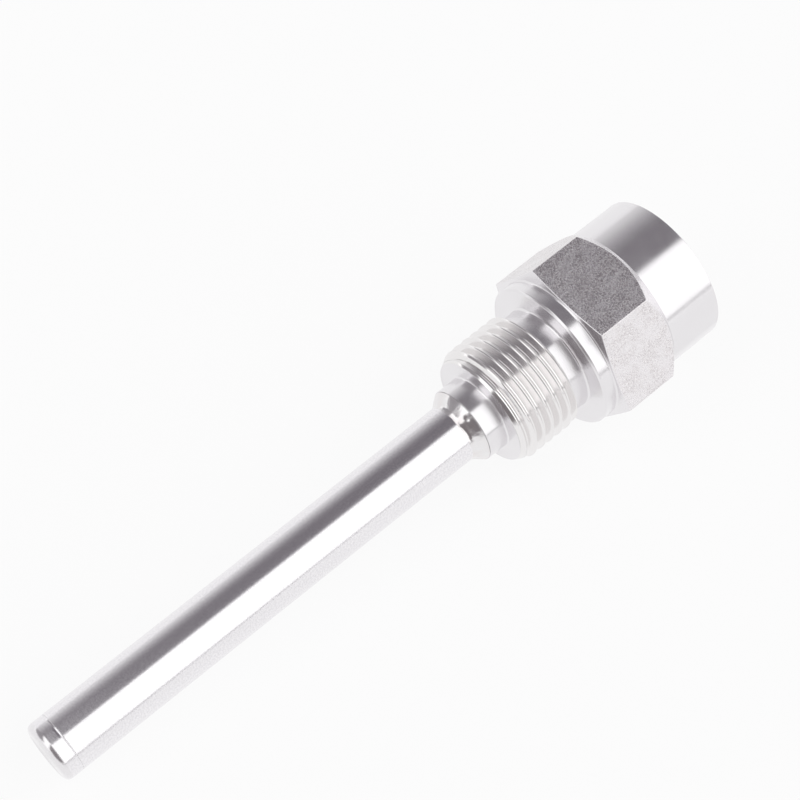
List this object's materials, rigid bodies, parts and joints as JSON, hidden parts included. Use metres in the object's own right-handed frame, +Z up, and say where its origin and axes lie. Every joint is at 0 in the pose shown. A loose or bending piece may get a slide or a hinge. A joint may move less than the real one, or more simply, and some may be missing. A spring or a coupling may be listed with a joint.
{
  "type": "thermowell",
  "caption": "Screw-in thermowell: thin closed tube welded to a turned head with threaded stud, sealing collar, hexagon and round threaded boss.",
  "frame": {"origin": "centre of the foot of the part's box: halfway along it, on the surface it lies on", "axes": "+X along the well from tip to head, the way it lies; +Z up; the well's own axis rises 4.78 degrees towards the head, from the tube's tip to one flat of the hexagon"},
  "size_m": [0.126, 0.0312, 0.0283],
  "materials": {
    "turned_steel": "fine turned and milled stainless steel",
    "drawn_tube": "bright drawn stainless tube",
    "weld_metal": "bright smooth weld bead"
  },
  "bodies": {
    "root": {"head_fitting": "turned_steel", "protection_tube": "drawn_tube", "neck_weld": "weld_metal", "tip_cap": "turned_steel"}
  },
  "joints": []
}
